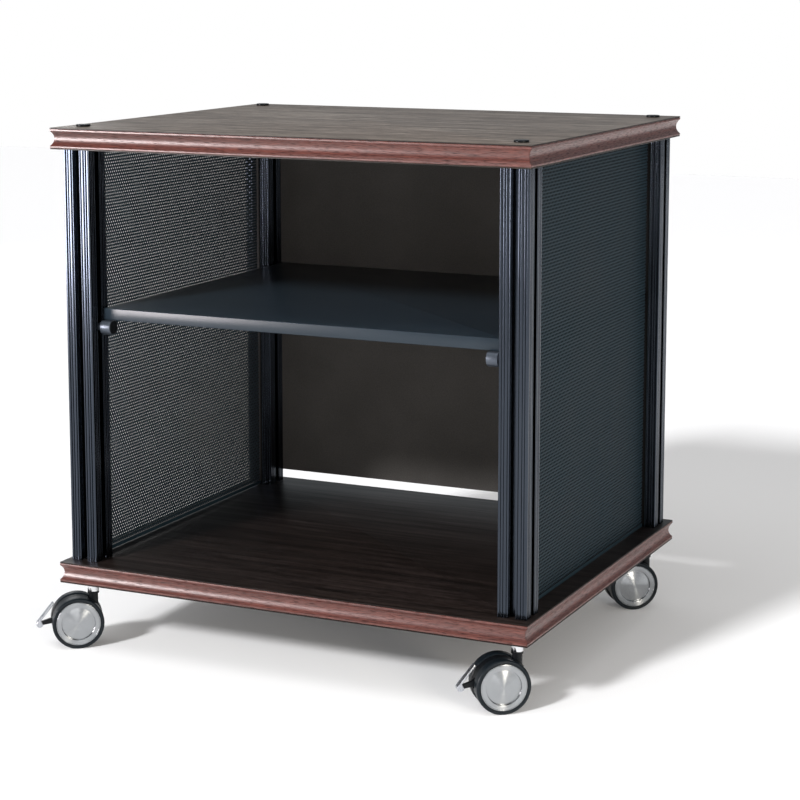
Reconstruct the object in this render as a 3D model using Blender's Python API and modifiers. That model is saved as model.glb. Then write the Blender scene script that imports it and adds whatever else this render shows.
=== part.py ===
"""Audio-video cart: two moulded boards, four slotted posts, a shelf and four twin-wheel casters.

Metres, +Z up, front towards -Y. The origin is the centre of the bottom board's underside, the face
that the caster stems pass through. Every size below is set once; the pieces are worked out from them.
"""
import math

import bmesh
import bpy
from mathutils import Matrix, Vector

# Clearance between pieces that touch, and between a turning piece and its seat
GAP = 0.0003

# Boards: a core with a veneer facing on both faces, which runs out over the edge mouldings
BOARD_WIDTH = 0.610
BOARD_DEPTH = 0.510
BOARD_THICKNESS = 0.0254
FACING_THICKNESS = 0.0012

# Edge moulding: a cove between two lips, mitred at the corners
MOULDING_WIDTH = 0.014
COVE_DEPTH = 0.004
LIP_HEIGHT = 0.0024
LIP_CHAMFER = 0.0005
COVE_STEPS = 8
MITRE_PULL = 0.0002

# Posts: square extrusions with a T-slot in each face and three fine grooves on each flank
POST_SIZE = 0.0355
POST_LENGTH = 0.5006
POST_SIDE_INSET = 0.0075
POST_FRONT_INSET = 0.016
POST_CORNER = 0.0006
SLOT_MOUTH = 0.009
SLOT_LIP = 0.003
SLOT_CAVITY = 0.013
SLOT_DEPTH = 0.0095
GROOVE_DEPTH = 0.001
GROOVE_TAPER = 0.0003
GROOVES = ((0.0014, 0.0013), (0.0056, 0.0012), (0.0086, 0.0015))

# Tie bolts, threaded stems and the round caps over the bolt heads
BOLT_DIAMETER = 0.008
BOLT_HEAD_DIAMETER = 0.013
BOLT_HEAD_HEIGHT = 0.008
BOLT_GRIP = 0.035
COUNTERBORE_DEPTH = 0.0098
CAP_DIAMETER = 0.017
CAP_HEIGHT = 0.0025
CAP_ROUND = 0.0008
CAP_PLUG = 0.001

# Side panels: sheet whose hemmed edges run in the post slots; a plain grid of openings stands for its fine
# perforation, with the same open share
SHEET_THICKNESS = 0.0016
HEM_DEPTH = 0.0024
OPENINGS_ACROSS = 10
OPENINGS_UP = 12
OPENING_SHARE = 0.68

# Back panel, screwed to the rear faces of the rear posts, with a cable gap below it
BACK_THICKNESS = 0.003
BACK_SIDE_MARGIN = 0.004
CABLE_GAP = 0.0155

# Shelf and its four clamped supports
SHELF_TOP = 0.335
SHELF_THICKNESS = 0.014
SHELF_END_CLEARANCE = 0.003
SHELF_FRONT_SETBACK = 0.0207
SHELF_REAR_CLEARANCE = 0.0035
SHELF_EDGE = 0.0008
SUPPORT_RADIUS = 0.0092
SUPPORT_FLAT = 0.0076
SUPPORT_LENGTH = 0.0195
SUPPORT_NECK_RADIUS = 0.0052
SUPPORT_NECK_LENGTH = 0.005
SUPPORT_LUG_DEPTH = 0.0022
SUPPORT_LUG_HEIGHT = 0.012

# Casters: swivel height, trail and twin wheels
CASTER_HEIGHT = 0.083
CASTER_TURN = math.radians(-142.6)
CASTER_TRAIL = 0.0200
COLLAR_DIAMETER = 0.014
COLLAR_HEIGHT = 0.0185
NECK_DIAMETER = 0.0114
NECK_HEIGHT = 0.013
SPIGOT_DIAMETER = 0.006
SPIGOT_LENGTH = 0.014
BOSS_WIDTH = 0.0118
HOUSING_THICKNESS = 0.0110
HOOD_MARGIN = 0.001
HOOD_CLEARANCE = 0.0008
HOOD_END = math.radians(-20)
AXLE_DIAMETER = 0.006
AXLE_BOSS_RADIUS = 0.009
WHEEL_DIAMETER = 0.063
WHEEL_WIDTH = 0.0135
WHEEL_SIDE_CLEARANCE = 0.0009
WHEEL_SEGMENTS = 26
TYRE_DEPTH = 0.0047
TYRE_SHOULDER = 0.0022
HUB_RING_WIDTH = 0.0062
HUB_RING_PROUD = 0.0006
HUB_DISH = 0.0022
HUB_DOME = 0.0016
HUB_FACE = 0.0045

# Brake pedal of the two front casters: a thin sloping bar with a rounded foot, on a tongue
PEDAL_WIDTH = 0.0086
PEDAL_THICKNESS = 0.0026
PEDAL_PIVOT = (0.0232, 0.0030)
PEDAL_TOP = (0.0268, 0.0212)
PEDAL_FOOT = (0.0458, -0.0022)
PEDAL_FOOT_RADIUS = 0.0042
PEDAL_PIN_RADIUS = 0.002
PEDAL_TONGUE_WIDTH = 0.0044
PEDAL_TONGUE_RADIUS = 0.0040
PEDAL_SLOT_CLEARANCE = 0.0008
PEDAL_SWEEP = 0.0035

ROUND_SEGMENTS = 20

# Heights of the main faces above the bottom board's underside
FLOOR_TOP = BOARD_THICKNESS
POST_BOTTOM = FLOOR_TOP + GAP
POST_TOP = POST_BOTTOM + POST_LENGTH
TOP_UNDERSIDE = POST_TOP + GAP
TOP_FACE = TOP_UNDERSIDE + BOARD_THICKNESS

# Places of the posts' axes and faces, for the post at +X +Y
POST_X = BOARD_WIDTH / 2 - POST_SIDE_INSET - POST_SIZE / 2
POST_Y = BOARD_DEPTH / 2 - POST_FRONT_INSET - POST_SIZE / 2
INNER_X = POST_X - POST_SIZE / 2
INNER_Y = POST_Y - POST_SIZE / 2
OUTER_Y = POST_Y + POST_SIZE / 2

# Turns an extruded outline so that its length runs along X and its own X and Y run along Y and Z
LENGTH_TO_X = Matrix(((0, 0, 1, 0), (1, 0, 0, 0), (0, 1, 0, 0), (0, 0, 0, 1)))

CORNERS = (
    ("front_left", -1, -1),
    ("front_right", 1, -1),
    ("rear_left", -1, 1),
    ("rear_right", 1, 1),
)


def clear_scene():
    """Remove what the start-up file holds."""
    for item in list(bpy.data.objects):
        bpy.data.objects.remove(item)


def new_collection(name):
    """A collection linked to the scene."""
    group = bpy.data.collections.new(name)
    bpy.context.scene.collection.children.link(group)
    return group


def finish(name, colour, roughness, metallic=0.0):
    """A Principled material with one colour."""
    result = bpy.data.materials.new(name)
    result.use_nodes = True
    shader = result.node_tree.nodes["Principled BSDF"]
    shader.inputs["Base Color"].default_value = (*colour, 1.0)
    shader.inputs["Roughness"].default_value = roughness
    shader.inputs["Metallic"].default_value = metallic
    return result


clear_scene()
PARTS = new_collection("audio_video_cart")
CUTTERS = new_collection("cutters")

VENEER = finish("dark_walnut_veneer", (0.045, 0.028, 0.022), 0.38)
MAHOGANY = finish("red_brown_moulding", (0.20, 0.055, 0.038), 0.35)
ANODISED = finish("black_anodised_post", (0.022, 0.026, 0.034), 0.30, 0.8)
SHEET = finish("black_perforated_sheet", (0.012, 0.014, 0.016), 0.45, 0.4)
BACKING = finish("dark_back_panel", (0.016, 0.015, 0.014), 0.55)
SHELF_PAINT = finish("satin_black_shelf", (0.020, 0.025, 0.032), 0.35)
CLAMP = finish("grey_black_clamp", (0.045, 0.050, 0.060), 0.40, 0.3)
CAP_BLACK = finish("black_cap", (0.008, 0.008, 0.008), 0.40)
ZINC = finish("zinc_bolt", (0.55, 0.56, 0.58), 0.30, 1.0)
CHROME = finish("chromed_stem", (0.75, 0.76, 0.78), 0.10, 1.0)
HOUSING_BLACK = finish("black_housing", (0.012, 0.013, 0.016), 0.35)
HUB_METAL = finish("satin_hub", (0.52, 0.53, 0.55), 0.25, 1.0)
RUBBER = finish("black_tyre", (0.014, 0.015, 0.018), 0.45)
PEDAL_METAL = finish("pedal_metal", (0.30, 0.31, 0.34), 0.25, 1.0)


def place(mesh, name, look, location=(0, 0, 0), rotation=(0, 0, 0), parent=None):
    """An object of the cart, at a place in its parent's space."""
    result = bpy.data.objects.new(name, mesh)
    PARTS.objects.link(result)
    result.location = location
    result.rotation_euler = rotation
    result.parent = parent
    if not mesh.materials:
        mesh.materials.append(look)
    return result


def empty(name, location, rotation=(0, 0, 0), parent=None):
    """A joint's frame, which the pieces that turn about it hang from."""
    result = bpy.data.objects.new(name, None)
    PARTS.objects.link(result)
    result.location = location
    result.rotation_euler = rotation
    result.parent = parent
    return result


def cutter(mesh, name, location=(0, 0, 0), rotation=(0, 0, 0), parent=None):
    """A guide solid for a Boolean, left out of the model."""
    result = bpy.data.objects.new(name, mesh)
    CUTTERS.objects.link(result)
    result.location = location
    result.rotation_euler = rotation
    result.parent = parent
    result.hide_render = True
    result.display_type = "WIRE"
    return result


def combine(target, other, operation):
    """Join another solid to a piece, or cut it away."""
    modifier = target.modifiers.new(other.name, "BOOLEAN")
    modifier.operation = operation
    modifier.object = other
    modifier.solver = "EXACT"


def box_mesh(name, size):
    """A box centred on its own origin."""
    mesh = bpy.data.meshes.new(name)
    shape = bmesh.new()
    bmesh.ops.create_cube(shape, size=1.0, matrix=Matrix.Diagonal((*size, 1.0)))
    shape.to_mesh(mesh)
    shape.free()
    return mesh


def rod_mesh(name, radius, length, segments=ROUND_SEGMENTS):
    """A capped cylinder along Z, centred on its own origin."""
    mesh = bpy.data.meshes.new(name)
    shape = bmesh.new()
    bmesh.ops.create_cone(shape, cap_ends=True, segments=segments, radius1=radius, radius2=radius, depth=length)
    shape.to_mesh(mesh)
    shape.free()
    return mesh


def outline_mesh(name, loops, thickness):
    """A flat outline, with holes as further loops, extruded by its thickness about Z = 0."""
    curve = bpy.data.curves.new(name, "CURVE")
    curve.dimensions = "2D"
    curve.fill_mode = "BOTH"
    curve.extrude = thickness / 2
    for loop in loops:
        spline = curve.splines.new("POLY")
        spline.points.add(len(loop) - 1)
        for point, (x, y) in zip(spline.points, loop):
            point.co = (x, y, 0, 1)
        spline.use_cyclic_u = True
    holder = bpy.data.objects.new(name, curve)
    CUTTERS.objects.link(holder)
    depsgraph = bpy.context.evaluated_depsgraph_get()
    mesh = bpy.data.meshes.new_from_object(holder.evaluated_get(depsgraph))
    bpy.data.objects.remove(holder)
    bpy.data.curves.remove(curve)
    shape = bmesh.new()
    shape.from_mesh(mesh)
    bmesh.ops.remove_doubles(shape, verts=shape.verts, dist=1e-6)
    bmesh.ops.recalc_face_normals(shape, faces=shape.faces)
    shape.to_mesh(mesh)
    shape.free()
    mesh.name = name
    return mesh


def turned(name, look, profile, closed=False, segments=ROUND_SEGMENTS, **at):
    """A solid turned about Z; the profile runs down its outer side at +X."""
    mesh = bpy.data.meshes.new(name)
    edges = [(i, i + 1) for i in range(len(profile) - 1)]
    if closed:
        edges.append((len(profile) - 1, 0))
    mesh.from_pydata([(radius, 0, height) for radius, height in profile], edges, [])
    result = place(mesh, name, look, **at)
    spin = result.modifiers.new("turn", "SCREW")
    spin.axis = "Z"
    spin.angle = 2 * math.pi
    spin.steps = segments
    spin.render_steps = segments
    spin.use_merge_vertices = True
    spin.merge_threshold = 0.00001
    spin.use_smooth_shade = True
    return result


def circle(radius, centre=(0, 0), segments=16, start=0.0, sweep=2 * math.pi):
    """Points round a circle or an arc; a full circle leaves out its repeated last point."""
    count = segments if sweep >= 2 * math.pi else segments + 1
    angles = [start + sweep * i / segments for i in range(count)]
    return [(centre[0] + radius * math.cos(a), centre[1] + radius * math.sin(a)) for a in angles]


def facing_mesh(name):
    """A veneer facing, divided so that the flat between the posts, where things stand, has faces of its own."""
    mesh = box_mesh(name, (BOARD_WIDTH, BOARD_DEPTH, FACING_THICKNESS))
    shape = bmesh.new()
    shape.from_mesh(mesh)
    for side, end in ((-INNER_X, 0), (INNER_X, 0), (0, -INNER_Y), (0, INNER_Y)):
        everything = [*shape.verts, *shape.edges, *shape.faces]
        bmesh.ops.bisect_plane(shape, geom=everything, plane_co=(side, end, 0), plane_no=(side, end, 0))
    shape.to_mesh(mesh)
    shape.free()
    return mesh


def board(name, underside, bolts_from_top):
    """A veneered board: the core, its two facings, and a hole over each post's axis."""
    middle = underside + BOARD_THICKNESS / 2
    core_width = BOARD_WIDTH - 2 * (MOULDING_WIDTH + GAP)
    core_depth = BOARD_DEPTH - 2 * (MOULDING_WIDTH + GAP)
    core_height = BOARD_THICKNESS - FACING_THICKNESS
    core = place(box_mesh(name, (core_width, core_depth, core_height)), name, VENEER, (0, 0, middle))
    facing = facing_mesh(f"{name}_facing")
    for side, offset in (("lower", -1), ("upper", 1)):
        height = middle + offset * (BOARD_THICKNESS - FACING_THICKNESS) / 2
        combine(core, cutter(facing, f"{name}_{side}_facing", (0, 0, height)), "UNION")
    hole = rod_mesh(f"{name}_hole", BOLT_DIAMETER / 2 + GAP, 3 * BOARD_THICKNESS)
    seat = rod_mesh(f"{name}_seat", BOLT_HEAD_DIAMETER / 2 + GAP, 2 * COUNTERBORE_DEPTH)
    for corner, side, end in CORNERS:
        axis = (side * POST_X, end * POST_Y)
        combine(core, cutter(hole, f"{name}_hole_{corner}", (*axis, middle)), "DIFFERENCE")
        if bolts_from_top:
            combine(core, cutter(seat, f"{name}_seat_{corner}", (*axis, underside + BOARD_THICKNESS)), "DIFFERENCE")
    return core


def moulding_profile():
    """The moulding's section: depth inwards from its face against height about its middle."""
    half = BOARD_THICKNESS / 2 - FACING_THICKNESS - GAP
    chord = half - LIP_HEIGHT
    radius = (chord ** 2 + COVE_DEPTH ** 2) / (2 * COVE_DEPTH)
    reach = math.asin(chord / radius)
    points = [(MOULDING_WIDTH, half), (LIP_CHAMFER, half), (0, half - LIP_CHAMFER)]
    for step in range(COVE_STEPS + 1):
        angle = reach * (1 - 2 * step / COVE_STEPS)
        points.append((COVE_DEPTH - radius + radius * math.cos(angle), radius * math.sin(angle)))
    points += [(0, LIP_CHAMFER - half), (LIP_CHAMFER, -half), (MOULDING_WIDTH, -half)]
    return points


def moulding(name, length, centre, turn):
    """One straight moulding, its ends drawn in at 45 degrees for the mitres."""
    mesh = outline_mesh(name, [moulding_profile()], length)
    mesh.transform(LENGTH_TO_X)
    for vertex in mesh.vertices:
        vertex.co.x -= math.copysign(vertex.co.y + MITRE_PULL, vertex.co.x)
    return place(mesh, name, MAHOGANY, centre, (0, 0, turn))


def moulded_board(prefix, underside, bolts_from_top):
    """A board with its four mouldings."""
    board(f"{prefix}_panel", underside, bolts_from_top)
    middle = underside + BOARD_THICKNESS / 2
    moulding(f"{prefix}_front_moulding", BOARD_WIDTH, (0, -BOARD_DEPTH / 2, middle), 0)
    moulding(f"{prefix}_right_moulding", BOARD_DEPTH, (BOARD_WIDTH / 2, 0, middle), math.pi / 2)
    moulding(f"{prefix}_rear_moulding", BOARD_WIDTH, (0, BOARD_DEPTH / 2, middle), math.pi)
    moulding(f"{prefix}_left_moulding", BOARD_DEPTH, (-BOARD_WIDTH / 2, 0, middle), -math.pi / 2)


def post_outline():
    """The extrusion's section: one grooved and slotted face, turned to each of the four sides."""
    half = POST_SIZE / 2
    mouth = SLOT_MOUTH / 2
    flank = []
    for start, width in GROOVES:
        near = mouth + start
        far = near + width
        flank += [(near, 0), (near + GROOVE_TAPER, GROOVE_DEPTH), (far - GROOVE_TAPER, GROOVE_DEPTH), (far, 0)]
    flank.append((half - POST_CORNER, 0))
    slot = [(mouth, 0), (mouth, SLOT_LIP), (SLOT_CAVITY / 2, SLOT_LIP), (SLOT_CAVITY / 2, SLOT_DEPTH)]
    right = slot[::-1] + flank
    face = [(-along, depth) for along, depth in right[::-1]] + right
    points = []
    for quarter in range(4):
        turn = Matrix.Rotation(quarter * math.pi / 2, 2)
        for along, depth in face:
            points.append(tuple(turn @ Vector((along, depth - half))))
    return points


def posts():
    """Four posts between the boards, bored for the tie bolt above and the caster stem below."""
    bore = circle(BOLT_DIAMETER / 2 + GAP)
    mesh = outline_mesh("post", [post_outline(), bore], POST_LENGTH)
    for corner, side, end in CORNERS:
        place(mesh, f"{corner}_post", ANODISED, (side * POST_X, end * POST_Y, POST_BOTTOM + POST_LENGTH / 2))


def tie_bolts():
    """A bolt through the top board into each post, and the cap over its head."""
    seat = TOP_FACE - COUNTERBORE_DEPTH + GAP
    head_top = seat + BOLT_HEAD_HEIGHT
    head = BOLT_HEAD_DIAMETER / 2
    shank = BOLT_DIAMETER / 2
    end = TOP_UNDERSIDE - BOLT_GRIP
    bolt = [(0, head_top), (head, head_top), (head, seat), (shank, seat), (shank, end), (0, end)]
    rim = CAP_DIAMETER / 2
    top = TOP_FACE + GAP + CAP_HEIGHT
    base = TOP_FACE + GAP
    plug = BOLT_HEAD_DIAMETER / 2
    cap = [(0, top), (rim - CAP_ROUND, top), (rim, top - CAP_ROUND), (rim, base), (plug, base),
           (plug, base - CAP_PLUG), (0, base - CAP_PLUG)]
    for corner, side, depth in CORNERS:
        axis = (side * POST_X, depth * POST_Y, 0)
        turned(f"{corner}_tie_bolt", ZINC, bolt, location=axis)
        turned(f"{corner}_cap", CAP_BLACK, cap, location=axis)


def opening_edges(span, count):
    """Both edges of each of a row of openings, evenly spaced over a span about zero."""
    pitch = span / count
    return [(number + 0.5 * (1 + side * OPENING_SHARE)) * pitch - span / 2
            for number in range(count) for side in (-1, 1)]


def cell_mesh(name, lines, filled):
    """One solid of box cells between three sets of grid lines, with faces only where a filled cell ends."""
    shape = bmesh.new()
    corners = {}
    counts = [len(line) - 1 for line in lines]
    cells = [(i, j, k) for i in range(counts[0]) for j in range(counts[1]) for k in range(counts[2])]
    cells = {cell for cell in cells if filled(*cell)}
    for cell in sorted(cells):
        for axis, step in ((0, 0), (0, 1), (1, 0), (1, 1), (2, 0), (2, 1)):
            beyond = list(cell)
            beyond[axis] += 2 * step - 1
            if tuple(beyond) in cells:
                continue
            quad = []
            for one, other in ((0, 0), (1, 0), (1, 1), (0, 1)):
                at = list(cell)
                at[axis] += step
                at[(axis + 1) % 3] += one
                at[(axis + 2) % 3] += other
                at = tuple(at)
                if at not in corners:
                    corners[at] = shape.verts.new([line[i] for line, i in zip(lines, at)])
                quad.append(corners[at])
            shape.faces.new(quad if step else quad[::-1])
    mesh = bpy.data.meshes.new(name)
    shape.to_mesh(mesh)
    shape.free()
    return mesh


def side_panels():
    """Openwork sheets in the posts' middle plane, each hem inside the mouth of a slot."""
    height = POST_LENGTH - 2 * GAP
    inner = INNER_Y + GAP
    outer = inner + HEM_DEPTH
    hem = SLOT_MOUTH / 2 - GAP
    sheet = SHEET_THICKNESS / 2
    lines = [[-hem, -sheet, sheet, hem],
             [-outer, -inner, *opening_edges(2 * INNER_Y, OPENINGS_ACROSS), inner, outer],
             [-height / 2, *opening_edges(height, OPENINGS_UP), height / 2]]
    last = len(lines[1]) - 2

    def filled(layer, column, row):
        """Hems fill all three layers; the sheet fills the middle one, except at its openings."""
        return column in (0, last) or (layer == 1 and (column % 2 == 1 or row % 2 == 0))

    middle = POST_BOTTOM + POST_LENGTH / 2
    for name, side in (("left_mesh_panel", -1), ("right_mesh_panel", 1)):
        place(cell_mesh(name, lines, filled), name, SHEET, (side * POST_X, 0, middle))


def back_panel():
    """A plain sheet behind the rear posts, open below for cables."""
    width = 2 * (POST_X + POST_SIZE / 2 - BACK_SIDE_MARGIN)
    bottom = FLOOR_TOP + CABLE_GAP
    top = TOP_UNDERSIDE - GAP
    centre = (0, OUTER_Y + GAP + BACK_THICKNESS / 2, (bottom + top) / 2)
    place(box_mesh("back_panel", (width, BACK_THICKNESS, top - bottom)), "back_panel", BACKING, centre)


def shelf():
    """The height-adjustable shelf, on a clamp in the inner slot of each post."""
    width = 2 * (INNER_X - SHELF_END_CLEARANCE)
    front = SHELF_FRONT_SETBACK - OUTER_Y
    rear = OUTER_Y - SHELF_REAR_CLEARANCE
    middle = SHELF_TOP - SHELF_THICKNESS / 2
    slab = place(box_mesh("shelf", (width, rear - front, SHELF_THICKNESS)), "shelf", SHELF_PAINT,
                 (0, (front + rear) / 2, middle))
    edge = slab.modifiers.new("eased_edges", "BEVEL")
    edge.width = SHELF_EDGE
    edge.segments = 1
    axis_height = SHELF_TOP - SHELF_THICKNESS - GAP - SUPPORT_FLAT
    knob_length = SUPPORT_LENGTH - SUPPORT_NECK_LENGTH
    for corner, side, end in CORNERS:
        face = side * INNER_X
        knob_at = (face - side * (SUPPORT_NECK_LENGTH + knob_length / 2), end * POST_Y, axis_height)
        across = (0, math.pi / 2, 0)
        name = f"{corner}_shelf_support"
        knob = place(rod_mesh(name, SUPPORT_RADIUS, knob_length), name, CLAMP, knob_at, across)
        reach = SUPPORT_NECK_LENGTH + 2 * GAP
        neck_at = (face - side * (GAP + reach / 2), end * POST_Y, axis_height)
        combine(knob, cutter(rod_mesh(f"{name}_neck", SUPPORT_NECK_RADIUS, reach), f"{name}_neck", neck_at, across),
                "UNION")
        lug_length = SUPPORT_LUG_DEPTH + 2 * GAP
        lug = box_mesh(f"{name}_lug", (lug_length, SLOT_MOUTH - 2 * GAP, SUPPORT_LUG_HEIGHT))
        lug_at = (face + side * (lug_length / 2 - 2 * GAP), end * POST_Y, axis_height)
        combine(knob, cutter(lug, f"{name}_lug", lug_at), "UNION")
        flat = box_mesh(f"{name}_flat", (2 * SUPPORT_LENGTH, 3 * SUPPORT_RADIUS, SUPPORT_RADIUS))
        flat_at = (*knob_at[:2], axis_height + SUPPORT_FLAT + SUPPORT_RADIUS / 2)
        combine(knob, cutter(flat, f"{name}_flat", flat_at), "DIFFERENCE")


def housing_outline():
    """The housing's side view about the axle: trail along +X, up along +Y, a seat under the stem's neck."""
    hood = WHEEL_DIAMETER / 2 - HOOD_MARGIN
    boss_left = -CASTER_TRAIL - BOSS_WIDTH / 2
    hood_left = -CASTER_TRAIL + NECK_DIAMETER / 2 + HOOD_CLEARANCE
    seat = CASTER_HEIGHT - WHEEL_DIAMETER / 2 - COLLAR_HEIGHT - NECK_HEIGHT - 2 * GAP
    start = math.acos(hood_left / hood)
    points = [(boss_left, seat), (hood_left, seat)]
    points += circle(hood, segments=14, start=start, sweep=HOOD_END - start)
    points += circle(AXLE_BOSS_RADIUS, segments=6, start=HOOD_END - 0.2, sweep=math.radians(-140))
    points.append((boss_left, 0))
    return points


def housing(corner, swivel, with_pedal):
    """The body between the two wheels, bored for the stem's spigot, the axle and the pedal's pin."""
    name = f"{corner}_caster_housing"
    axle_height = WHEEL_DIAMETER / 2 - CASTER_HEIGHT
    upright = (math.pi / 2, 0, 0)
    mesh = outline_mesh(name, [housing_outline()], HOUSING_THICKNESS)
    body = place(mesh, name, HOUSING_BLACK, (CASTER_TRAIL, 0, axle_height), upright, swivel)
    seat = -COLLAR_HEIGHT - NECK_HEIGHT - 2 * GAP
    bore = rod_mesh(f"{name}_bore", SPIGOT_DIAMETER / 2 + GAP, 2 * (SPIGOT_LENGTH + GAP))
    combine(body, cutter(bore, f"{name}_bore", (0, 0, seat), parent=swivel), "DIFFERENCE")
    hole = rod_mesh(f"{name}_axle_hole", AXLE_DIAMETER / 2 + GAP, 2 * HOUSING_THICKNESS)
    at = (CASTER_TRAIL, 0, axle_height)
    combine(body, cutter(hole, f"{name}_axle_hole", at, upright, swivel), "DIFFERENCE")
    if with_pedal:
        pivot = (CASTER_TRAIL + PEDAL_PIVOT[0], 0, axle_height + PEDAL_PIVOT[1])
        reach = PEDAL_TONGUE_RADIUS + PEDAL_SLOT_CLEARANCE
        slot = box_mesh(f"{name}_slot", (4 * reach, PEDAL_TONGUE_WIDTH + 2 * GAP, 2 * reach + PEDAL_SWEEP))
        slot_at = (pivot[0] + reach, 0, pivot[2] - PEDAL_SWEEP / 2)
        combine(body, cutter(slot, f"{name}_slot", slot_at, parent=swivel), "DIFFERENCE")
        pin = rod_mesh(f"{name}_pin_hole", PEDAL_PIN_RADIUS + GAP, 2 * HOUSING_THICKNESS)
        combine(body, cutter(pin, f"{name}_pin_hole", pivot, upright, swivel), "DIFFERENCE")


def stem(corner, axis):
    """The chromed stem: threaded up through the board into the post, collar, neck, spigot in the housing."""
    thread = BOLT_DIAMETER / 2
    collar = COLLAR_DIAMETER / 2
    neck = NECK_DIAMETER / 2
    spigot = SPIGOT_DIAMETER / 2
    tip = FLOOR_TOP + BOLT_GRIP
    low = -GAP - COLLAR_HEIGHT
    seat = low - NECK_HEIGHT
    end = seat - SPIGOT_LENGTH
    profile = [(0, tip), (thread, tip), (thread, -GAP), (collar, -GAP), (collar, low), (neck, low),
               (neck, seat), (spigot, seat), (spigot, end), (0, end)]
    turned(f"{corner}_caster_stem", CHROME, profile, location=axis)


def wheel(prefix, side, swivel):
    """One wheel: a satin hub with a ringed, dished face, and its tyre."""
    half = WHEEL_WIDTH / 2
    rim = WHEEL_DIAMETER / 2 - TYRE_DEPTH
    ring_inner = rim - HUB_RING_WIDTH
    ring_top = half - GAP
    dish = ring_top - HUB_DISH
    bore = AXLE_DIAMETER / 2 + GAP
    hub = [(0, dish + HUB_DOME), (ring_inner / 2, dish + 0.75 * HUB_DOME), (ring_inner - HUB_RING_PROUD, dish),
           (ring_inner, ring_top), (rim - HUB_RING_PROUD, ring_top), (rim, ring_top - HUB_RING_PROUD),
           (rim, -half), (bore, -half), (bore, half - HUB_FACE), (0, half - HUB_FACE)]
    inner = rim + GAP
    outer = WHEEL_DIAMETER / 2
    tyre = [(inner, half), (outer - TYRE_SHOULDER, half), (outer, half - TYRE_SHOULDER),
            (outer, TYRE_SHOULDER - half), (outer - TYRE_SHOULDER, -half), (inner, -half)]
    offset = side * (HOUSING_THICKNESS / 2 + WHEEL_SIDE_CLEARANCE + half)
    at = (CASTER_TRAIL, offset, WHEEL_DIAMETER / 2 - CASTER_HEIGHT)
    facing = (-side * math.pi / 2, 0, 0)
    turned(f"{prefix}_hub", HUB_METAL, hub, segments=WHEEL_SEGMENTS, location=at, rotation=facing, parent=swivel)
    turned(f"{prefix}_tyre", RUBBER, tyre, closed=True, segments=WHEEL_SEGMENTS, location=at, rotation=facing,
           parent=swivel)


def pedal_outline():
    """The pedal's side view about its pivot: a thin bar that slopes down and out to a rounded foot."""
    top = Vector(PEDAL_TOP) - Vector(PEDAL_PIVOT)
    foot = Vector(PEDAL_FOOT) - Vector(PEDAL_PIVOT)
    along = (foot - top).normalized()
    out = Vector((-along.y, along.x))
    shoulder = math.atan2(out.y, out.x)
    lower = foot - along * PEDAL_FOOT_RADIUS + out * (PEDAL_FOOT_RADIUS - PEDAL_THICKNESS)
    points = [tuple(top + out * (PEDAL_FOOT_RADIUS - PEDAL_THICKNESS)), tuple(top + out * PEDAL_FOOT_RADIUS)]
    points += circle(PEDAL_FOOT_RADIUS, tuple(foot), 10, shoulder, -math.pi * 1.15)
    points.append(tuple(lower))
    return points


def pedal(corner, swivel):
    """The brake pedal: bar and foot outside the wheels, a tongue and pin between the housing's cheeks."""
    name = f"{corner}_brake_pedal"
    pivot = (CASTER_TRAIL + PEDAL_PIVOT[0], 0, WHEEL_DIAMETER / 2 - CASTER_HEIGHT + PEDAL_PIVOT[1])
    upright = (math.pi / 2, 0, 0)
    foot = place(outline_mesh(name, [pedal_outline()], PEDAL_WIDTH), name, PEDAL_METAL, pivot, upright, swivel)
    root = circle(PEDAL_TONGUE_RADIUS, segments=10, start=math.pi / 2, sweep=math.pi)
    end = PEDAL_FOOT[0] - PEDAL_PIVOT[0]
    middle = PEDAL_FOOT[1] - PEDAL_PIVOT[1]
    inside_foot = [(end, middle - PEDAL_FOOT_RADIUS / 2), (end, middle + PEDAL_FOOT_RADIUS / 2)]
    tongue = outline_mesh(f"{name}_tongue", [root + inside_foot], PEDAL_TONGUE_WIDTH)
    combine(foot, cutter(tongue, f"{name}_tongue", pivot, upright, swivel), "UNION")
    pin = rod_mesh(f"{name}_pin", PEDAL_PIN_RADIUS, HOUSING_THICKNESS - 2 * GAP, 16)
    combine(foot, cutter(pin, f"{name}_pin", pivot, upright, swivel), "UNION")


def caster(corner, side, end):
    """One twin-wheel caster under a post; the front pair have brake pedals."""
    axis = (side * POST_X, end * POST_Y, 0)
    stem(corner, axis)
    swivel = empty(f"{corner}_swivel", axis, (0, 0, CASTER_TURN))
    housing(corner, swivel, end < 0)
    hub_seat = HOUSING_THICKNESS / 2 + WHEEL_SIDE_CLEARANCE + WHEEL_WIDTH - HUB_FACE - GAP
    axle_at = (CASTER_TRAIL, 0, WHEEL_DIAMETER / 2 - CASTER_HEIGHT)
    axle = rod_mesh(f"{corner}_axle", AXLE_DIAMETER / 2, 2 * hub_seat)
    place(axle, f"{corner}_axle", CHROME, axle_at, (math.pi / 2, 0, 0), swivel)
    wheel(f"{corner}_outer", 1, swivel)
    wheel(f"{corner}_inner", -1, swivel)
    if end < 0:
        pedal(corner, swivel)


moulded_board("bottom", 0.0, False)
moulded_board("top", TOP_UNDERSIDE, True)
posts()
tie_bolts()
side_panels()
back_panel()
shelf()
for corner_name, x_side, y_side in CORNERS:
    caster(corner_name, x_side, y_side)
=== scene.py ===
"""Audio-video cart: two walnut boards edged with mahogany coves, on four black slotted posts.

A shelf hangs on clamps in the posts, perforated sheets close the sides, and four twin-wheel casters carry it.
"""
import math

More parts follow.
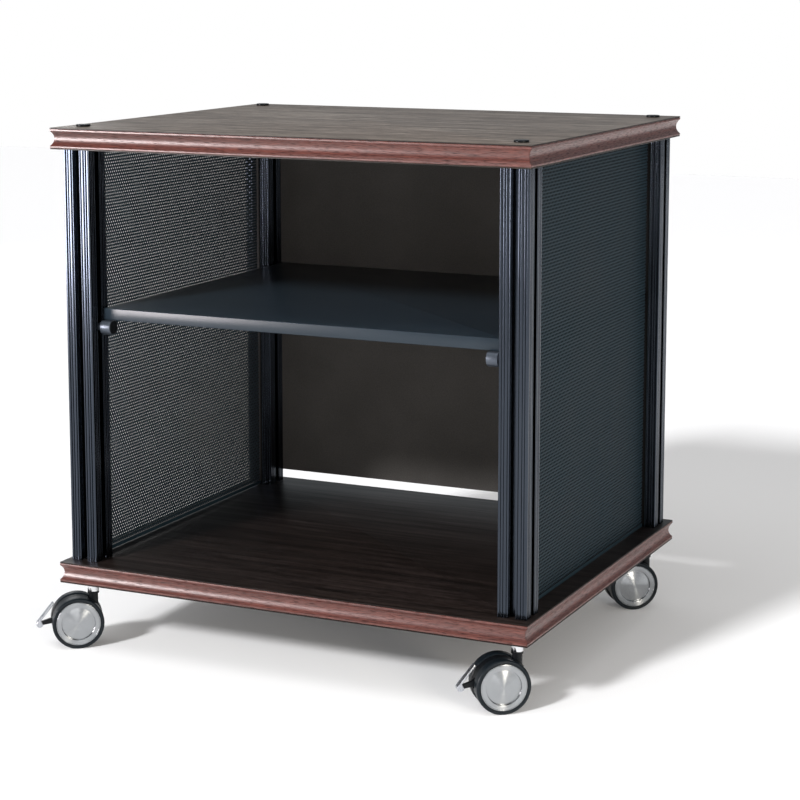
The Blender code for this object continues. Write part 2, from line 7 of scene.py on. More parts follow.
import bmesh
import bpy
import numpy as np
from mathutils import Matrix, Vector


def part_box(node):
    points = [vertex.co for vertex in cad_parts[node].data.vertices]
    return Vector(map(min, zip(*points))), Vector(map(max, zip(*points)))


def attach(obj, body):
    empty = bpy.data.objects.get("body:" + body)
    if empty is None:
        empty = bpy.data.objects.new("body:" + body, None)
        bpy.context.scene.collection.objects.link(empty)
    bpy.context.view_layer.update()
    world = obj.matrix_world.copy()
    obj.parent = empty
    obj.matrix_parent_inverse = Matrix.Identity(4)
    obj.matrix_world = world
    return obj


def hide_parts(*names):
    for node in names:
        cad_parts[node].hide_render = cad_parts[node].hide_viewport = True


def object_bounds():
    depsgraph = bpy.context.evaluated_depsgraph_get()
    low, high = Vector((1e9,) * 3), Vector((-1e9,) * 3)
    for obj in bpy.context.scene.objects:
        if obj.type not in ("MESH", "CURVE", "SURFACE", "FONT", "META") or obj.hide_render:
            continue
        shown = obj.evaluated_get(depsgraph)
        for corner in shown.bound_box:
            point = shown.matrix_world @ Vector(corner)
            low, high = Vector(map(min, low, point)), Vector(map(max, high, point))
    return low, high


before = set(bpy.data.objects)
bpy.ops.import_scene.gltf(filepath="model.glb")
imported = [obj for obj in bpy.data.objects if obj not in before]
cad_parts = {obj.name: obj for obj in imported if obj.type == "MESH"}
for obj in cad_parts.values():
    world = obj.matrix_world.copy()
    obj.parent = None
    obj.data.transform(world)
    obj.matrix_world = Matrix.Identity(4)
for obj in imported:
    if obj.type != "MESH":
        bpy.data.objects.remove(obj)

cad_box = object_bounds()
floor_height = cad_box[0][2]

# The view
# The photograph was taken with a long lens from the cart's right, a little above the top board. Its
# verticals were straightened, as by a camera that is tilted less and has its picture shifted down.
VIEW_PLACE = (1.1514, -2.3897, 0.7366)
VIEW_PITCH = -0.14977
VIEW_TURN = 0.43828
VIEW_LENS = 97.5
VIEW_SENSOR = 36
VIEW_SHIFT = -0.13

camera = bpy.data.objects.new("camera", bpy.data.cameras.new("camera"))
bpy.context.scene.collection.objects.link(camera)
camera.location = VIEW_PLACE
camera.rotation_euler = (math.pi / 2 + VIEW_PITCH, 0, VIEW_TURN)
camera.data.lens = VIEW_LENS
camera.data.sensor_width = VIEW_SENSOR
camera.data.shift_y = VIEW_SHIFT
bpy.context.scene.camera = camera
bpy.context.scene.view_settings.view_transform = "Standard"


# The studio
# A white sweep in even light, with a key lamp in front, a weak fill near the camera and a dark card behind on
# the right. A softbox at the front left shows in reflections alone, a warm strip at the right lights the
# wheel hubs, and another strip, behind the left corner, skims over the top board.
WHITE = (1.0, 1.0, 1.0, 1.0)
BACK_HEADING = (0.0, 1.0, 0.0)
CARD_HEADING = (0.6, 0.8, 0.0)
DIFFUSE_SKY = 0.46
FRONT_SKY = 0.16
BACK_SKY = 0.42
CARD_SHADE = -0.16
MIRRORED_TINT = (0.88, 0.95, 1.0, 1.0)


def node(tree, kind, sockets=None, **settings):
    """A node with its settings, and its sockets given by a value or by the socket that feeds them."""
    made = tree.nodes.new(kind)
    for setting, value in settings.items():
        setattr(made, setting, value)
    for socket, value in (sockets or {}).items():
        if isinstance(value, bpy.types.NodeSocket):
            tree.links.new(value, made.inputs[socket])
        else:
            made.inputs[socket].default_value = value
    return made


def either(tree, first, second):
    """One where either of two values is one."""
    return node(tree, "ShaderNodeMath", {0: first, 1: second}, operation="MAXIMUM").outputs[0]


def blended(tree, share, first, second, kind="MIX"):
    """Two colours mixed by a share."""
    mix = node(tree, "ShaderNodeMix", {"Factor": share, "A": first, "B": second}, data_type="RGBA",
               blend_type=kind)
    return mix.outputs["Result"]


world = bpy.data.worlds.new("studio")
bpy.context.scene.world = world
world.use_nodes = True
sky = world.node_tree
sky.nodes.clear()
sky_ray = node(sky, "ShaderNodeLightPath")
sky_heading = node(sky, "ShaderNodeTexCoord").outputs["Generated"]


def towards(direction, start, full, low, high):
    """Light that rises from low to high as a ray turns towards a direction, smoothly between two cosines."""
    cosine = node(sky, "ShaderNodeVectorMath", {0: sky_heading, 1: direction}, operation="DOT_PRODUCT")
    rise = node(sky, "ShaderNodeMapRange", {"Value": cosine.outputs["Value"], "From Min": start,
                                            "From Max": full, "To Min": low, "To Max": high},
                interpolation_type="SMOOTHSTEP")
    return rise.outputs["Result"]


sky_mirrored = either(sky, sky_ray.outputs["Is Glossy Ray"], sky_ray.outputs["Is Transmission Ray"])
around = node(sky, "ShaderNodeMath", {0: towards(BACK_HEADING, -0.3, 0.4, FRONT_SKY, BACK_SKY),
                                      1: towards(CARD_HEADING, 0.6, 0.92, 0.0, CARD_SHADE)}, operation="ADD")
dim = node(sky, "ShaderNodeMix", {"Factor": sky_mirrored, 2: DIFFUSE_SKY, 3: around.outputs["Value"]})
bright = node(sky, "ShaderNodeMix", {"Factor": sky_ray.outputs["Is Camera Ray"], 2: dim.outputs[0], 3: 1.0})
cool = blended(sky, sky_mirrored, WHITE, MIRRORED_TINT)
sky_colour = blended(sky, sky_ray.outputs["Is Camera Ray"], cool, WHITE)
glow = node(sky, "ShaderNodeBackground", {"Color": sky_colour, "Strength": bright.outputs[0]})
node(sky, "ShaderNodeOutputWorld", {"Surface": glow.outputs["Background"]})


def lamp(name, light, place, target, colour=(1, 1, 1)):
    """Puts a light at a place and turns it to face a target."""
    light.color = colour
    made = bpy.data.objects.new(name, light)
    bpy.context.scene.collection.objects.link(made)
    line = np.subtract(place, target)
    level = math.hypot(line[0], line[1])
    made.location = place
    made.rotation_euler = (math.atan2(level, line[2]), 0, math.atan2(line[1], line[0]) + math.pi / 2)
    made.visible_camera = False
    return made


def softbox(name, place, target, width, height, radiance, colour=(1, 1, 1)):
    """A rectangular light facing a target; its power is radiance times pi times its area."""
    light = bpy.data.lights.new(name, "AREA")
    light.shape = "RECTANGLE"
    light.size = width
    light.size_y = height
    light.energy = radiance * math.pi * width * height
    return lamp(name, light, place, target, colour)


shine = softbox("front_left_softbox", place=(-1.98, -2.24, 0.50), target=(0, 0, 0.30), width=0.9, height=1.0,
                radiance=37.0, colour=(1.0, 0.93, 0.94))
shine.visible_diffuse = False
softbox("front_right_fill", place=(1.30, -2.60, 0.55), target=(0, 0, 0.30), width=1.0, height=0.9,
        radiance=3.2, colour=(1.0, 0.98, 0.97))
softbox("front_right_strip", place=(2.20, -1.60, 0.65), target=(0, 0, 0.1), width=0.35, height=1.0,
        radiance=21.0, colour=(1.0, 0.92, 0.80))
softbox("overhead_softbox", place=(-0.3, -0.8, 2.6), target=(0, 0, 0.3), width=1.4, height=1.4, radiance=1.7)
softbox("skimming_strip", place=(-2.8, 2.75, 0.85), target=(-0.2, 0, 0.5), width=0.9, height=0.4,
        radiance=4.0)

KEY_PLACE = (-0.45, -1.55, 0.95)
KEY_STRENGTH = 3.2
KEY_SPREAD = math.radians(8)
key = bpy.data.lights.new("key_lamp", "SUN")
key.energy = KEY_STRENGTH
key.angle = KEY_SPREAD
lamp("key_lamp", key, KEY_PLACE, (0, 0, 0)).visible_glossy = False

SWEEP_HALF = 6.0
SWEEP_COLOUR = (0.94, 0.94, 0.95, 1)
SWEEP_GLOW = 0.06
floor_mesh = bpy.data.meshes.new("studio_floor")
floor_plan = np.array([(-1, -1), (1, -1), (1, 1), (-1, 1)]) * SWEEP_HALF
floor_mesh.from_pydata([(x, y, floor_height) for x, y in floor_plan], [], [(0, 1, 2, 3)])
studio_floor = bpy.data.objects.new("studio_floor", floor_mesh)
bpy.context.scene.collection.objects.link(studio_floor)
paper = bpy.data.materials.new("white_paper_sweep")
paper.use_nodes = True
sweep = paper.node_tree
sweep.nodes.clear()
ray = node(sweep, "ShaderNodeLightPath")
matt = node(sweep, "ShaderNodeBsdfDiffuse", {"Color": SWEEP_COLOUR})
mirrored = either(sweep, ray.outputs["Is Glossy Ray"], ray.outputs["Is Transmission Ray"])
looked_at = either(sweep, ray.outputs["Is Camera Ray"], mirrored)
lifted = node(sweep, "ShaderNodeMath", {0: looked_at, 1: SWEEP_GLOW}, operation="MULTIPLY")
lift = node(sweep, "ShaderNodeEmission", {"Color": WHITE, "Strength": lifted.outputs[0]})
both = node(sweep, "ShaderNodeAddShader", {0: matt.outputs[0], 1: lift.outputs[0]})
node(sweep, "ShaderNodeOutputMaterial", {"Surface": both.outputs[0]})
floor_mesh.materials.append(paper)


# Boards
# Each board is a core between two walnut veneer facings that run out over the mouldings. The facings' edges
# are eased by hand and painted dark as shade for the shadow line at the seam, and the satin lacquer leaves
# the short pores open.
FACING = 0.0012
FACING_CORNER = 0.0006
FACING_EASE = 0.0003
CORE_CORNER = 0.0005
CORE_EASE = 0.0002
MOULDING_WIDTH = 0.014
SEAM = 0.0003
CORNER_STEPS = 5
EASE_STEPS = 4
LEAST_RADIUS = 0.00001
SAME_POINT = 0.0000001
NO_STAIN = (1.0, 1.0, 1.0)
# Near-black painted shade for the facings' edges: the shadow line at their seam with the mouldings.
EDGE_SHADE = (0.010, 0.007, 0.006, 1.0)


def extent(name):
    """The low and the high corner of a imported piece's box."""
    return [np.array(point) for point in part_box(name)]


def piece(name, mesh, look, body, replaced=(), crease=35, merge=True):
    """Closes the seams and poles, turns the faces outwards and puts the piece on its body."""
    if merge:
        shape = bmesh.new()
        shape.from_mesh(mesh)
        bmesh.ops.remove_doubles(shape, verts=shape.verts, dist=SAME_POINT)
        bmesh.ops.recalc_face_normals(shape, faces=shape.faces)
        shape.to_mesh(mesh)
        shape.free()
        mesh.polygons.foreach_set("use_smooth", np.ones(len(mesh.polygons), dtype=bool))
        mesh.set_sharp_from_angle(angle=math.radians(crease))
    mesh.materials.append(look)
    made = bpy.data.objects.new(name, mesh)
    bpy.context.scene.collection.objects.link(made)
    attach(made, body)
    if replaced:
        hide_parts(*replaced)
    return made


def loft(name, rings, look, body, replaced=(), uv=None, capped=True, crease=35):
    """A closed skin over rings[i, j]: quads join ring i to ring i + 1, and flat faces close both ends."""
    count, around_ring = rings.shape[:2]
    index = np.arange(count * around_ring).reshape(count, around_ring)
    ahead = np.roll(index, -1, axis=1)
    quads = np.stack([index[:-1], ahead[:-1], ahead[1:], index[1:]], axis=-1).reshape(-1, 4)
    faces = quads.tolist()
    if capped:
        faces += [index[0, ::-1].tolist(), index[-1].tolist()]
    mesh = bpy.data.meshes.new(name)
    mesh.from_pydata(rings.reshape(-1, 3).tolist(), [], faces)
    if uv is not None:
        corners = np.stack([uv[:-1, :-1], uv[:-1, 1:], uv[1:, 1:], uv[1:, :-1]], axis=2).reshape(-1, 2)
        spread = np.zeros((len(mesh.loops), 2))
        spread[:len(corners)] = corners
        if capped:
            spread[len(corners):] = np.concatenate([uv[0, :-1][::-1], uv[-1, :-1]])
        mesh.uv_layers.new(name="UVMap").uv.foreach_set("vector", spread.ravel())
    return piece(name, mesh, look, body, replaced, crease)


def rounded_rectangle(low, high, radius, inset):
    """Points round a rectangle in plan: four quarter circles, drawn in by an inset."""
    radius = max(radius - inset, LEAST_RADIUS)
    quarter = np.linspace(0, math.pi / 2, CORNER_STEPS)
    sides = []
    for turn, (sx, sy) in enumerate(((1, 1), (-1, 1), (-1, -1), (1, -1))):
        angle = quarter + turn * math.pi / 2
        centre = [(high[k] if s > 0 else low[k]) - s * (radius + inset) for k, s in enumerate((sx, sy))]
        sides.append(centre + radius * np.column_stack([np.cos(angle), np.sin(angle)]))
    return np.concatenate(sides)


def eased_faces(low, high, ease):
    """A quarter circle at each end of a thickness: how far in the outline is drawn, and at which heights."""
    bend = np.linspace(0, math.pi / 2, EASE_STEPS)
    leaving = ease * (1 - np.sin(bend))
    rising = ease * (1 - np.cos(bend))
    return np.concatenate([leaving, rising]), np.concatenate([low + rising, high - leaving])


def slab(name, low, high, corner_radius, ease, look, body, replaced=(), slot=None):
    """A flat board: its plan outline is drawn in along a quarter circle at the lower and upper edges."""
    rings = []
    for inset, height in zip(*eased_faces(low[2], high[2], ease)):
        plan = rounded_rectangle(low, high, corner_radius, inset)
        rings.append(np.column_stack([plan, np.full(len(plan), height)]))
    return loft(name, np.array(rings), look, body, replaced)


def material(name, colour=(0.5, 0.5, 0.5), roughness=0.5, metallic=0.0, **sockets):
    """A Principled material: its tree and its shader, for the grain or marks to be added."""
    made = bpy.data.materials.new(name)
    made.use_nodes = True
    tree = made.node_tree
    shader = tree.nodes["Principled BSDF"]
    shader.inputs["Base Color"].default_value = (*colour, 1)
    shader.inputs["Roughness"].default_value = roughness
    shader.inputs["Metallic"].default_value = metallic
    for socket, value in sockets.items():
        shader.inputs[socket.replace("_", " ")].default_value = value
    return made, tree, shader


def marks(tree, source, scale, detail, rough):
    """Noise over Object or UV coordinates, stretched by a scale on each axis: grain, streaks or specks."""
    where = node(tree, "ShaderNodeTexCoord").outputs[source]
    stretched = node(tree, "ShaderNodeMapping", {"Vector": where, "Scale": scale})
    noise = node(tree, "ShaderNodeTexNoise", {"Vector": stretched.outputs[0], "Scale": 1.0, "Detail": detail,
                                              "Roughness": rough})
    return noise.outputs["Fac"]


def tint(tree, value, *stops):
    """A colour or grey for a value, from stops of a place and a colour."""
    ramp = node(tree, "ShaderNodeValToRGB", {"Fac": value})
    band = ramp.color_ramp
    for place, colour in stops[1:-1]:
        band.elements.new(place)
    for element, (place, colour) in zip(band.elements, stops):
        element.position = place
        element.color = (*colour, 1)
    return ramp.outputs["Color"]


def ranged(tree, value, low, high, from_low=0.3, from_high=0.7):
    """A value spread over a range, such as a roughness or a height."""
    made = node(tree, "ShaderNodeMapRange", {"Value": value, "From Min": from_low, "From Max": from_high,
                                             "To Min": low, "To Max": high})
    return made.outputs["Result"]


def darkened(tree, colour, *layers):
    """A colour multiplied by each of several layers in turn."""
    for layer in layers:
        colour = blended(tree, 1.0, colour, layer, "MULTIPLY")
    return colour


def facing_along(tree, axis):
    """How squarely a face of a piece looks along one of its own axes, from 0 to 1."""
    facing = node(tree, "ShaderNodeTexCoord").outputs["Normal"]
    share = node(tree, "ShaderNodeSeparateXYZ", {"Vector": facing}).outputs[axis]
    return node(tree, "ShaderNodeMath", {0: share}, operation="ABSOLUTE").outputs["Value"]


def finish(tree, shader, colour, roughness, height, depth):
    """Feeds a colour and a roughness to a shader, with bump of a real depth in metres on its normal."""
    tree.links.new(colour, shader.inputs["Base Color"])
    tree.links.new(roughness, shader.inputs["Roughness"])
    bump = node(tree, "ShaderNodeBump", {"Height": height, "Distance": depth, "Strength": 1.0})
    tree.links.new(bump.outputs["Normal"], shader.inputs["Normal"])


def walnut(name, roughness, shine, dark, middle, light):
    """Walnut veneer along X: streaky figure, fine fibres and short pores; its cut edges are painted dark as
    shade.
    """
    made, tree, shader = material(name, roughness=roughness, Specular_IOR_Level=shine)
    figure = marks(tree, "Object", (3.5, 80.0, 80.0), 6.0, 0.7)
    fibre = marks(tree, "Object", (14.0, 900.0, 900.0), 3.0, 0.6)
    streaks = marks(tree, "Object", (22.0, 170.0, 170.0), 3.0, 0.6)
    pores = marks(tree, "Object", (80.0, 700.0, 700.0), 2.0, 0.5)
    bands = marks(tree, "Object", (0.9, 17.0, 17.0), 4.0, 0.5)
    wood = tint(tree, figure, (0.33, dark), (0.50, middle), (0.67, light))
    slow = tint(tree, bands, (0.3, (0.70, 0.67, 0.64)), (0.7, NO_STAIN))
    fine = tint(tree, fibre, (0.3, (0.70, 0.68, 0.66)), (0.65, NO_STAIN))
    streak = tint(tree, streaks, (0.38, (0.58, 0.55, 0.52)), (0.58, NO_STAIN))
    dots = tint(tree, pores, (0.38, (0.30, 0.28, 0.26)), (0.47, NO_STAIN))
    wood = blended(tree, 0.8, darkened(tree, wood, slow, fine, streak), dots, "MULTIPLY")
    # Faces whose normal turns away from Z, the facing's edges, are painted near black as shade for the seam's
    # shadow line.
    edge = ranged(tree, facing_along(tree, "Z"), 1.0, 0.0, 0.5, 0.8)
    finish(tree, shader, blended(tree, edge, wood, EDGE_SHADE),
           ranged(tree, figure, roughness + 0.08, roughness - 0.05), figure, 0.00008)
    return made


def core_board():
    """Pale softwood core: a fine even speckle."""
    made, tree, shader = material("core_board", (0.20, 0.14, 0.09), 0.7)
    speckle = marks(tree, "Object", (160.0, 160.0, 160.0), 3.0, 0.55)
    tree.links.new(tint(tree, speckle, (0.3, (0.10, 0.07, 0.045)), (0.7, (0.26, 0.19, 0.13))),
                   shader.inputs["Base Color"])
    return made


top_veneer = walnut("satin_walnut_top", 0.44, 0.4, (0.110, 0.084, 0.067), (0.238, 0.192, 0.160),
                    (0.385, 0.325, 0.278))
# The lower board's walnut is the top's walnut painted about nine times darker: painted shade for the shade
# under the top board and the shelf.
shade_darkened_deck_veneer = walnut("shade_darkened_walnut_deck", 0.42, 0.15, (0.012, 0.0088, 0.0080), (0.026, 0.0190, 0.0176),
                     (0.042, 0.0304, 0.0278))
core_wood = core_board()
for level, veneer in (("top", top_veneer), ("bottom", shade_darkened_deck_veneer)):
    low, high = extent(f"{level}_panel")
    inner = np.array([MOULDING_WIDTH + SEAM, MOULDING_WIDTH + SEAM, FACING])
    slab(f"{level}_core", low + inner, high - inner, CORE_CORNER, CORE_EASE, core_wood, "root",
         (f"{level}_panel",), "veneer")
    for face, foot in (("upper", high[2] - FACING), ("lower", low[2])):
        slab(f"{level}_{face}_facing", (*low[:2], foot), (*high[:2], foot + FACING), FACING_CORNER,
             FACING_EASE, veneer, "root", (f"{level}_panel",), "veneer")


# Mouldings
# Solid mahogany, run as a cove between two small lips, mitred at the corners and glued to the core. The
# lacquer is glossier than on the boards, and the grain follows each length.
MITRE_PULL = 0.0002
COVE_DEPTH = 0.004
COVE_STEPS = 28
LIP_HEIGHT = 0.0024
LIP_EASE = 0.0005
LIP_STEPS = 5
LIP_FLAT = 0.0003
MOULDING_STATIONS = 9
OUTWARD = {"front": (0, -1), "right": (1, 0), "rear": (0, 1), "left": (-1, 0)}
GRAIN_START = {"front": 0.0, "right": 1.7, "rear": 3.1, "left": 4.9}
TOP_GRAIN_START = 9.3


def cove_section(half):
    """Depth from the face against height: a circle's arc through both lips, and a square back."""
    chord = half - LIP_HEIGHT
    radius = (chord ** 2 + COVE_DEPTH ** 2) / (2 * COVE_DEPTH)
    angle = math.asin(chord / radius) * np.linspace(1, -1, COVE_STEPS)
    cove = np.column_stack([COVE_DEPTH - radius + radius * np.cos(angle), radius * np.sin(angle)])
    bend = np.linspace(0, math.pi / 2, LIP_STEPS)
    nose = LIP_EASE * np.column_stack([1 - np.sin(bend), np.cos(bend) - 1])
    upper = nose + (0, half)
    lower = nose[::-1] * (1, -1) + (0, -half)
    edge = np.array([(0.0, chord + LIP_FLAT)])
    back = np.array([(MOULDING_WIDTH, -half), (MOULDING_WIDTH, half)])
    return np.concatenate([upper, edge, cove[1:-1], edge * (1, -1), lower, back])


def mahogany_wood():
    """Red-brown wood: dark lines and short pores along the length, under a clear satin lacquer."""
    made, tree, shader = material("lacquered_mahogany", roughness=0.36, Specular_IOR_Level=0.2,
                                  Coat_Weight=0.8, Coat_Roughness=0.34, Coat_IOR=1.75,
                                  Coat_Tint=(1.0, 0.90, 0.86, 1.0))
    fibre = marks(tree, "UV", (40.0, 620.0, 1.0), 6.0, 0.68)
    pores = marks(tree, "UV", (90.0, 1500.0, 1.0), 2.0, 0.5)
    bands = marks(tree, "UV", (4.0, 90.0, 1.0), 3.0, 0.5)
    wood = tint(tree, fibre, (0.32, (0.052, 0.012, 0.008)), (0.50, (0.108, 0.026, 0.018)),
                (0.70, (0.175, 0.048, 0.033)))
    slow = tint(tree, bands, (0.32, (0.62, 0.56, 0.54)), (0.68, NO_STAIN))
    dots = tint(tree, pores, (0.37, (0.26, 0.20, 0.18)), (0.46, NO_STAIN))
    finish(tree, shader, blended(tree, 0.85, darkened(tree, wood, slow), dots, "MULTIPLY"),
           ranged(tree, pores, 0.50, 0.32), fibre, 0.00010)
    tree.links.new(ranged(tree, pores, 0.15, 0.75, 0.36, 0.48), shader.inputs["Coat Weight"])
    return made


def moulding(name, side, level, look):
    """The section carried along one edge; each end runs back at 45 degrees with the depth."""
    low, high = extent(name)
    middle = (low[2] + high[2]) / 2
    section = cove_section((high[2] - low[2]) / 2)
    outward = np.array(OUTWARD[side])
    along = np.array([-outward[1], outward[0]])
    board_low, board_high = extent(f"{level}_panel")
    board = (board_high - board_low)[:2]
    half_length = abs(board @ along) / 2
    face = abs(board @ outward) / 2
    depth, height = section.T
    stations = np.linspace(-1, 1, MOULDING_STATIONS)[:, None]
    reach = stations * (half_length - depth - MITRE_PULL)
    plan = reach[..., None] * along + (face - depth)[None, :, None] * outward
    rings = np.concatenate([plan, np.broadcast_to(middle + height, reach.shape)[..., None]], axis=2)
    closed = np.vstack([section, section[:1]])
    girth = np.concatenate([[0], np.cumsum(np.linalg.norm(np.diff(closed, axis=0), axis=1))])
    start = GRAIN_START[side] + (TOP_GRAIN_START if level == "top" else 0.0)
    length = np.concatenate([reach, reach[:, :1]], axis=1) + start
    uv = np.stack([length, np.broadcast_to(girth + start, length.shape)], axis=2)
    loft(f"{name}_wood", rings, look, "root", (name,), uv, crease=28)


mahogany = mahogany_wood()
for level in ("top", "bottom"):
    for side in OUTWARD:
        moulding(f"{level}_{side}_moulding", side, level, mahogany)


# Posts
# Square aluminium extrusions, anodised blue-black, with a T-slot and six fine grooves in every face. Each
# is cut to length and stands between the boards on its bolt.
POST_SIZE = 0.0355
POST_CORNER = 0.0006
POST_EASE = 0.00018
SLOT_MOUTH = 0.009
SLOT_LIP = 0.003
SLOT_CAVITY = 0.013
SLOT_DEPTH = 0.0095
GROOVE_DEPTH = 0.0014
GROOVE_TAPER = 0.0002
GROOVES = ((0.0014, 0.0013), (0.0056, 0.0012), (0.0086, 0.0015))
RIB_CROWN = 0.00010
RIB_STEPS = 7
CORNERS = {"front_left": (-1, -1), "front_right": (1, -1), "rear_left": (-1, 1), "rear_right": (1, 1)}


def eased(outline, radius):
    """A closed outline whose corners are replaced by quadratic curves that start a radius away."""
    before = np.roll(outline, 1, axis=0) - outline
    after = np.roll(outline, -1, axis=0) - outline
    reach_in = np.linalg.norm(before, axis=1, keepdims=True)
    reach_out = np.linalg.norm(after, axis=1, keepdims=True)
    start = outline + before / reach_in * np.minimum(radius, 0.45 * reach_in)
    end = outline + after / reach_out * np.minimum(radius, 0.45 * reach_out)
    t = np.linspace(0, 1, EASE_STEPS)[None, :, None]
    bend = (1 - t) ** 2 * start[:, None] + 2 * t * (1 - t) * outline[:, None] + t ** 2 * end[:, None]
    return bend.reshape(-1, 2)


def post_outline():
    """One grooved and slotted face, turned to the four sides; each rib's top is a low parabola."""
    half = POST_SIZE / 2
    mouth = SLOT_MOUTH / 2
    starts = [mouth] + [mouth + start + width for start, width in GROOVES]
    ends = [mouth + start for start, width in GROOVES] + [half - POST_CORNER]
    across = np.linspace(-1, 1, RIB_STEPS)
    flank = []
    for near, far, beyond in zip(starts, ends, starts[1:] + [None]):
        rib = np.column_stack([(near + far) / 2 + across * (far - near) / 2, RIB_CROWN * across ** 2])
        flank += rib.tolist()
        if beyond:
            flank += [(far + GROOVE_TAPER, GROOVE_DEPTH), (beyond - GROOVE_TAPER, GROOVE_DEPTH)]
    slot = [(mouth, SLOT_LIP), (SLOT_CAVITY / 2, SLOT_LIP), (SLOT_CAVITY / 2, SLOT_DEPTH)]
    right = np.array(slot[::-1] + flank)
    face = np.vstack([right[::-1] * (-1, 1), right]) - (0, half)
    sides = [face @ np.array([(math.cos(q), math.sin(q)), (-math.sin(q), math.cos(q))])
             for q in np.arange(4) * math.pi / 2]
    return eased(np.concatenate(sides), POST_EASE)


def anodised_metal():
    """Black anodising over drawn aluminium: fine lengthwise die lines, a blue-grey sheen, soft mottling."""
    made, tree, shader = material("black_anodised_aluminium", (0.09, 0.10, 0.12), 0.2, 1.0)
    lines = marks(tree, "Object", (3200.0, 3200.0, 4.0), 2.0, 0.6)
    cloud = marks(tree, "Object", (24.0, 24.0, 5.0), 3.0, 0.5)
    sheen = tint(tree, cloud, (0.3, (0.045, 0.054, 0.070)), (0.7, (0.057, 0.068, 0.086)))
    drawn = tint(tree, lines, (0.3, (0.86, 0.86, 0.86)), (0.7, NO_STAIN))
    finish(tree, shader, darkened(tree, sheen, drawn), ranged(tree, lines, 0.13, 0.19), lines, 0.000003)
    return made


def post(corner, outline, look):
    """The outline carried straight up from the foot of a post to its head."""
    low, high = extent(f"{corner}_post")
    axis = (low + high) / 2
    plan = np.broadcast_to(outline + axis[:2], (2, *outline.shape))
    heights = np.broadcast_to(np.array([low[2], high[2]])[:, None, None], (2, len(outline), 1))
    loft(f"{corner}_extrusion", np.concatenate([plan, heights], axis=2), look, "root", (f"{corner}_post",),
         crease=40)


anodised = anodised_metal()
post_plan = post_outline()
for corner in CORNERS:
    post(corner, post_plan, anodised)


# Perforated side panels
# Thin steel sheet punched with staggered rows of holes and painted blue-black. Its front and rear edges are
# folded into hems that fill the mouths of the post slots, and a plain border is left above and below.
SHEET_METAL = 0.0012
HOLE_PITCH = 0.0044
HOLE_ACROSS = 0.0026
HOLE_TURN = 30
ROW = HOLE_PITCH * math.sqrt(3) / 2
HEM_DEPTH = 0.0024
HEM_LAP = 0.0004
HEM_CORNER = 0.0009
HEM_EASE = 0.0003
BORDER_HEIGHT = 0.0045
BORDER_LAP = 0.0012
BORDER_METAL = 0.0014
BORDER_CORNER = 0.0003
BORDER_EASE = 0.0001
# Near-black painted shade for the walls of the holes.
HOLE_WALL_SHADE = (0.0005, 0.0006, 0.0008, 1.0)


def punched(name, x, low, columns, first, last, look):
    """Staggered hexagonal holes: strips join the facing edges of neighbours, triangles fill between three.

    Corner k of a hole lies at 30 + 60 k degrees. Odd rows are half a pitch further back."""
    row, column = np.meshgrid(np.arange(first, last + 1), np.arange(columns), indexing="ij")
    angle = np.radians(HOLE_TURN + 60 * np.arange(6))
    centre = (column + 0.5 * (row % 2) - 0.5 * (columns - 0.5)) * HOLE_PITCH
    reach = HOLE_ACROSS / math.sqrt(3)
    y = centre[..., None] + reach * np.cos(angle)
    z = (low + (row + 0.5) * ROW)[..., None] + reach * np.sin(angle)
    hole = np.arange(y.size).reshape(y.shape)
    beside = np.roll(hole, -1, axis=1)
    has_beside = column < columns - 1
    under = hole[:-1]
    to_right = column[:-1] + row[:-1] % 2
    has_right = to_right < columns
    has_left = to_right > 0
    right = np.take_along_axis(hole[1:], np.minimum(to_right, columns - 1)[..., None], axis=1)
    left = np.take_along_axis(hole[1:], np.maximum(to_right - 1, 0)[..., None], axis=1)
    own = slice(1 if first else 0, None)
    strips = [
        np.stack([hole[..., 0], hole[..., 5], beside[..., 3], beside[..., 2]], axis=-1)[own][has_beside[own]],
        np.stack([under[..., 0], right[..., 4], right[..., 3], under[..., 1]], axis=-1)[has_right],
        np.stack([under[..., 1], left[..., 5], left[..., 4], under[..., 2]], axis=-1)[has_left],
    ]
    webs = [
        np.stack([under[..., 0], beside[:-1][..., 2], right[..., 4]], axis=-1)[has_right & has_beside[:-1]],
        np.stack([under[..., 1], right[..., 3], left[..., 5]], axis=-1)[has_right & has_left],
    ]
    mesh = bpy.data.meshes.new(name)
    points = np.stack([np.full_like(y, x), y, z], axis=-1).reshape(-1, 3)
    mesh.from_pydata(points.tolist(), [], np.concatenate(strips).tolist() + np.concatenate(webs).tolist())
    made = piece(name, mesh, look, "root", merge=False)
    gauge = made.modifiers.new("gauge", "SOLIDIFY")
    gauge.thickness = SHEET_METAL
    gauge.offset = 0
    return made


def sheet_paint():
    """Blue-black powder coat: a fine orange-peel texture, slow changes in gloss, painted shade on the walls
    of the holes.
    """
    made, tree, shader = material("blue_black_powder_coat", (0.012, 0.020, 0.027), 0.55,
                                  Specular_IOR_Level=0.08)
    peel = marks(tree, "Object", (1500.0, 1500.0, 1500.0), 2.0, 0.5)
    cloud = marks(tree, "Object", (12.0, 12.0, 12.0), 4.0, 0.5)
    colour = tint(tree, cloud, (0.3, (0.014, 0.027, 0.037)), (0.7, (0.020, 0.036, 0.048)))
    # Faces that turn away from X, the walls of the holes, are painted near black as shade.
    shaded_hole_wall = ranged(tree, facing_along(tree, "X"), 1.0, 0.0, 0.4, 0.7)
    colour = blended(tree, shaded_hole_wall, colour, HOLE_WALL_SHADE)
    finish(tree, shader, colour, ranged(tree, cloud, 0.46, 0.56), peel, 0.00002)
    return made


